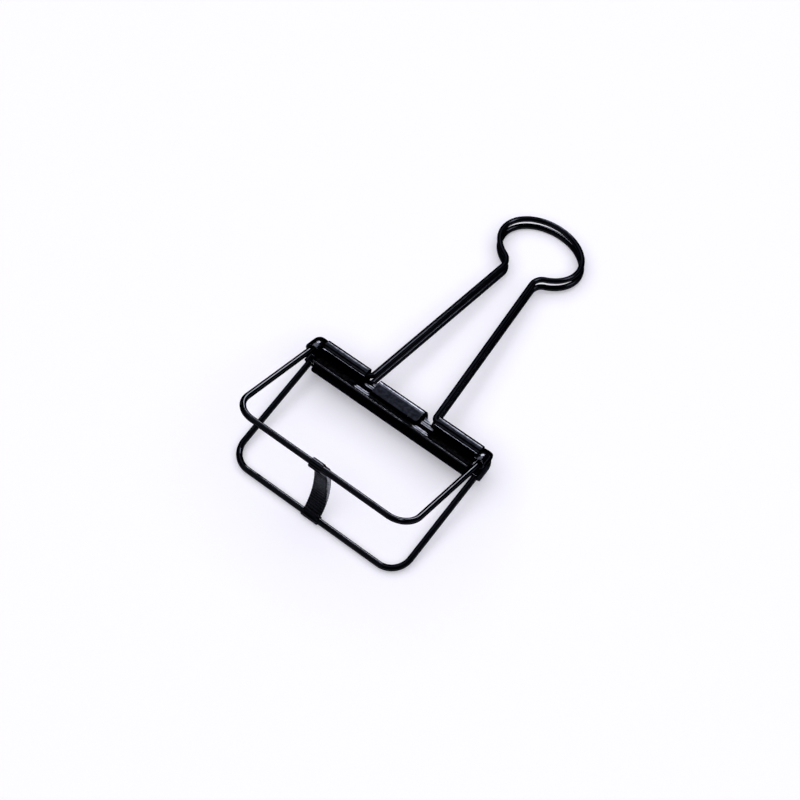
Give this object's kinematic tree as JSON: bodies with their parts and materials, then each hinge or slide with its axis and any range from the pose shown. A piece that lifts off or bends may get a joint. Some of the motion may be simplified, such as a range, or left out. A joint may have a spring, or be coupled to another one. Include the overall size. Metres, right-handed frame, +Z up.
{
  "type": "binder clip",
  "caption": "Open-frame wire binder clip: bent wire frames hinged by a ribbed spring band, rolled sheet jaws and folding keyhole wire handles.",
  "frame": {"origin": "on the resting plane, below the middle of the box round the clip", "axes": "+X along the jaws, +Y from the spine towards the folded-forward handles, +Z up from the surface that the clip lies on"},
  "size_m": [0.0522, 0.1, 0.0237],
  "materials": {
    "frame_wire": "gloss black enamel over steel wire",
    "jaw_sheet": "gloss black enamel over sheet steel",
    "handle_wire": "gloss black enamel over spring wire",
    "spring_steel": "satin black enamel over ribbed spring steel"
  },
  "bodies": {
    "lower_side": {"lower_frame": "frame_wire", "lower_jaw": "jaw_sheet"},
    "band": {"spring_band": "spring_steel"},
    "upper_side": {"upper_frame": "frame_wire", "upper_jaw": "jaw_sheet"},
    "upper_handle": {"upper_handle": "handle_wire"},
    "lower_handle": {"lower_handle": "handle_wire"}
  },
  "joints": [
    {"name": "upper_spine_hinge", "type": "hinge", "parent": "band", "child": "upper_side", "pos_m": [0, -0.0451, 0.02244], "axis": [1, 0, 0], "range_deg": [0, 12], "stiffness_Nm_per_rad": 0.01, "springref_deg": -34.38},
    {"name": "lower_spine_hinge", "type": "hinge", "parent": "lower_side", "child": "band", "pos_m": [0, -0.04873, 0.00125], "axis": [1, 0, 0], "range_deg": [0, 12], "stiffness_Nm_per_rad": 0.01, "springref_deg": -34.38},
    {"name": "upper_handle_hinge", "type": "hinge", "parent": "upper_side", "child": "upper_handle", "pos_m": [0, -0.0144, 0.00795], "axis": [1, 0, 0], "range_deg": [0, 155]},
    {"name": "lower_handle_hinge", "type": "hinge", "parent": "lower_side", "child": "lower_handle", "pos_m": [0, -0.01496, 0.0047], "axis": [-1, 0, 0], "range_deg": [0, 155]}
  ],
  "couplings": [
    {"joint": "lower_spine_hinge", "follows": "upper_spine_hinge", "ratio": 1}
  ]
}
